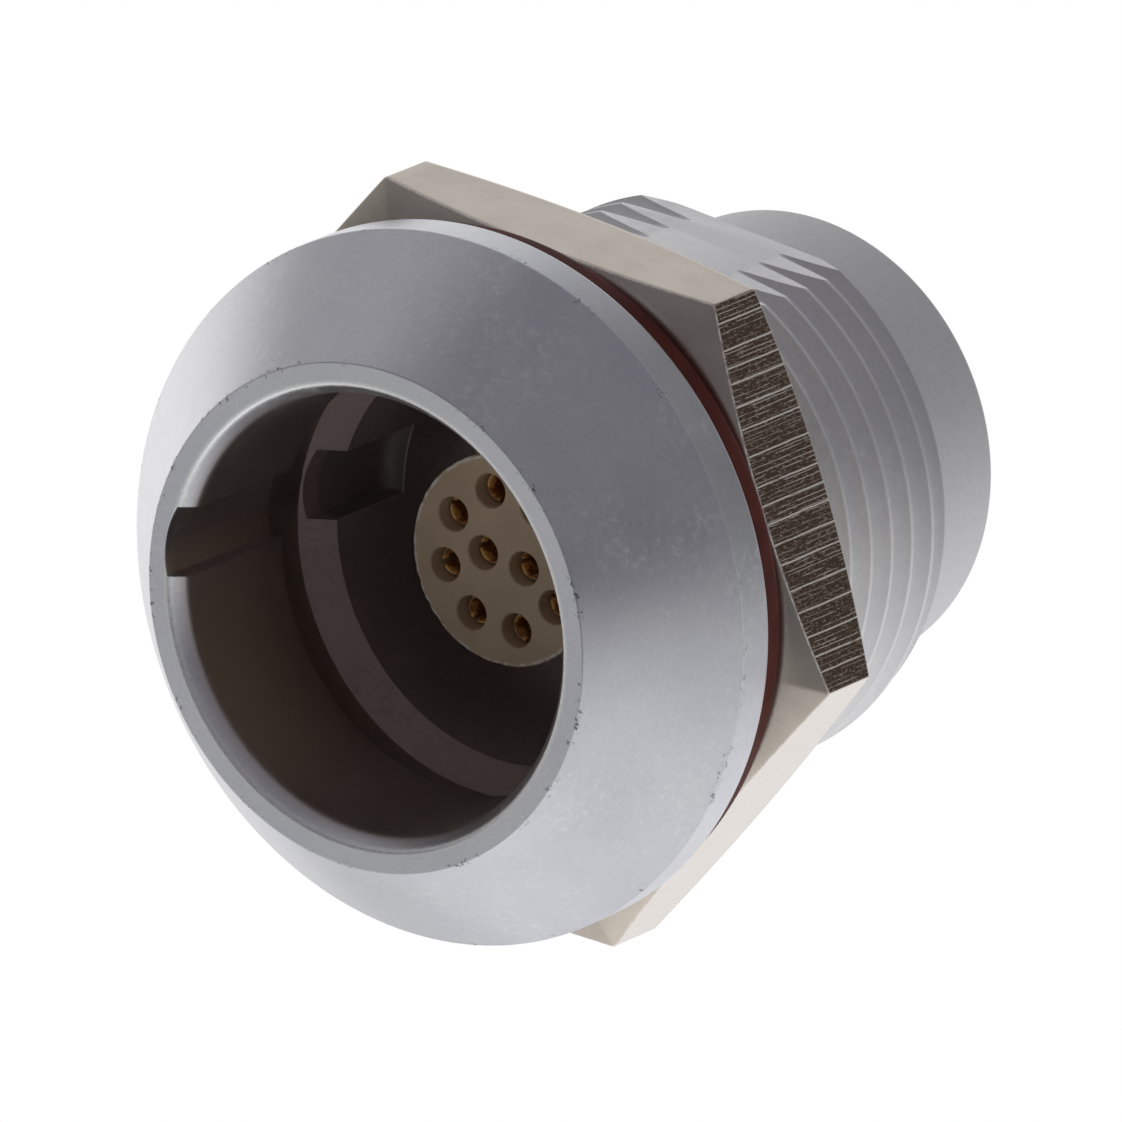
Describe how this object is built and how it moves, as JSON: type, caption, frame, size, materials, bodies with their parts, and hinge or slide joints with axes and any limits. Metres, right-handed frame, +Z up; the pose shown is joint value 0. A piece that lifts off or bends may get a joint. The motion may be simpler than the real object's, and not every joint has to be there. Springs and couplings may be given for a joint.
{
  "type": "panel socket connector",
  "caption": "Round push-in panel socket: coned flange, keyed bore, free-standing insert with female contacts, seal and hex nut on a flatted thread.",
  "frame": {"origin": "on the socket's axis, in the back face of the flange where the seal ring lies", "axes": "+Y along the axis from the plug side to the wire side, +Z up through the keyway, X across the thread's flats"},
  "size_m": [0.02, 0.0219, 0.022],
  "materials": {
    "shell_plating": "satin chrome plating on turned brass",
    "nut_plating": "nickel plating over milled brass, with tool marks",
    "seal_rubber": "dark red-brown rubber, matte",
    "insert_plastic": "ivory moulded plastic, matte",
    "holder_plastic": "black moulded plastic, matte",
    "inner_seal_rubber": "black rubber, matte",
    "spacer_metal": "nickel plated brass",
    "clamp_metal": "nickel plated brass",
    "contact_gold": "gold plated, polished"
  },
  "bodies": {
    "receptacle": {"shell": "shell_plating", "seal_ring": "seal_rubber", "insert": "insert_plastic", "insert_holder": "holder_plastic", "inner_seal": "inner_seal_rubber", "spacer": "spacer_metal", "clamp_ring": "clamp_metal", "contact_01": "contact_gold", "contact_02": "contact_gold", "contact_03": "contact_gold", "contact_04": "contact_gold", "contact_05": "contact_gold", "contact_06": "contact_gold", "contact_07": "contact_gold", "contact_08": "contact_gold", "contact_09": "contact_gold", "contact_10": "contact_gold"},
    "nut": {"hex_nut": "nut_plating"}
  },
  "joints": [
    {"name": "nut_travel", "type": "slide", "parent": "receptacle", "child": "nut", "axis": [0, 1, 0], "range_m": [0, 0.0074]}
  ]
}
